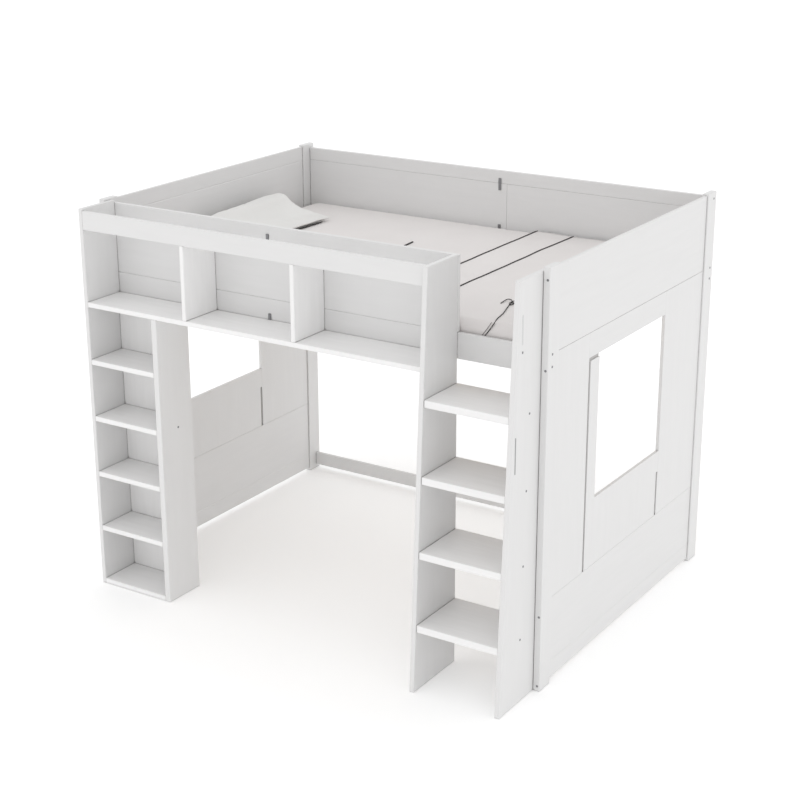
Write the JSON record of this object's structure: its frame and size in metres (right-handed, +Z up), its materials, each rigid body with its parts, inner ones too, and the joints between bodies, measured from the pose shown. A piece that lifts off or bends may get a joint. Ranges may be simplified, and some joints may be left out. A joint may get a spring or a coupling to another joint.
{
  "type": "loft bed",
  "caption": "High loft bed with a shelf bridge, a narrow shelf tower, a fixed side ladder with deep steps, windowed end walls, mattress and bedding.",
  "frame": {"origin": "middle of the footprint's bounding box, on the floor", "axes": "+X from the head wall to the foot wall with the ladder, +Y to the back, +Z up"},
  "size_m": [2.08, 1.7329, 1.654],
  "materials": {
    "white_paint": "satin white paint over wood and board",
    "shelf_paint": "satin white paint, slightly greyer in the shade",
    "slat_wood": "plain planed pine",
    "zinc_metal": "zinc plated",
    "mattress_cotton": "off-white woven cover",
    "pillow_cotton": "off-white cotton",
    "coverlet_cotton": "off-white quilted cotton with thin dark piping"
  },
  "bodies": {
    "root": {"bridge_side_panel": "white_paint", "bridge_band": "white_paint", "tower_right_panel": "white_paint", "ladder_left_side": "white_paint", "ladder_right_side": "white_paint", "front_guard": "white_paint", "front_bed_rail": "white_paint", "back_bed_rail": "white_paint", "back_guard_left": "white_paint", "back_guard_right": "white_paint", "back_guard_cap": "white_paint", "back_floor_rail": "white_paint", "head_post_front": "white_paint", "head_post_back": "white_paint", "head_wall_top": "white_paint", "head_wall_base": "white_paint", "head_wall_front": "white_paint", "head_wall_back": "white_paint", "head_window_head": "white_paint", "head_window_board": "white_paint", "head_joint_front": "white_paint", "head_joint_back": "white_paint", "foot_post_front": "white_paint", "foot_post_back": "white_paint", "foot_wall_top": "white_paint", "foot_wall_base": "white_paint", "foot_wall_front": "white_paint", "foot_wall_back": "white_paint", "foot_window_head": "white_paint", "foot_window_board": "white_paint", "foot_joint_front": "white_paint", "foot_joint_back": "white_paint", "bridge_shelf": "shelf_paint", "bridge_divider_1": "shelf_paint", "bridge_divider_2": "shelf_paint", "tower_back_panel": "shelf_paint", "tower_shelf_1": "shelf_paint", "tower_shelf_2": "shelf_paint", "tower_shelf_3": "shelf_paint", "tower_shelf_4": "shelf_paint", "tower_shelf_5": "shelf_paint", "ladder_step_1": "shelf_paint", "ladder_step_2": "shelf_paint", "ladder_step_3": "shelf_paint", "ladder_step_4": "shelf_paint", "slat_cleat_front": "slat_wood", "slat_cleat_back": "slat_wood", "slat_1": "slat_wood", "slat_2": "slat_wood", "slat_3": "slat_wood", "slat_4": "slat_wood", "slat_5": "slat_wood", "slat_6": "slat_wood", "plate_front_upper": "zinc_metal", "plate_front_lower": "zinc_metal", "plate_back_upper": "zinc_metal", "plate_back_lower": "zinc_metal", "mattress": "mattress_cotton", "pillow": "pillow_cotton", "coverlet": "coverlet_cotton"}
  },
  "joints": []
}
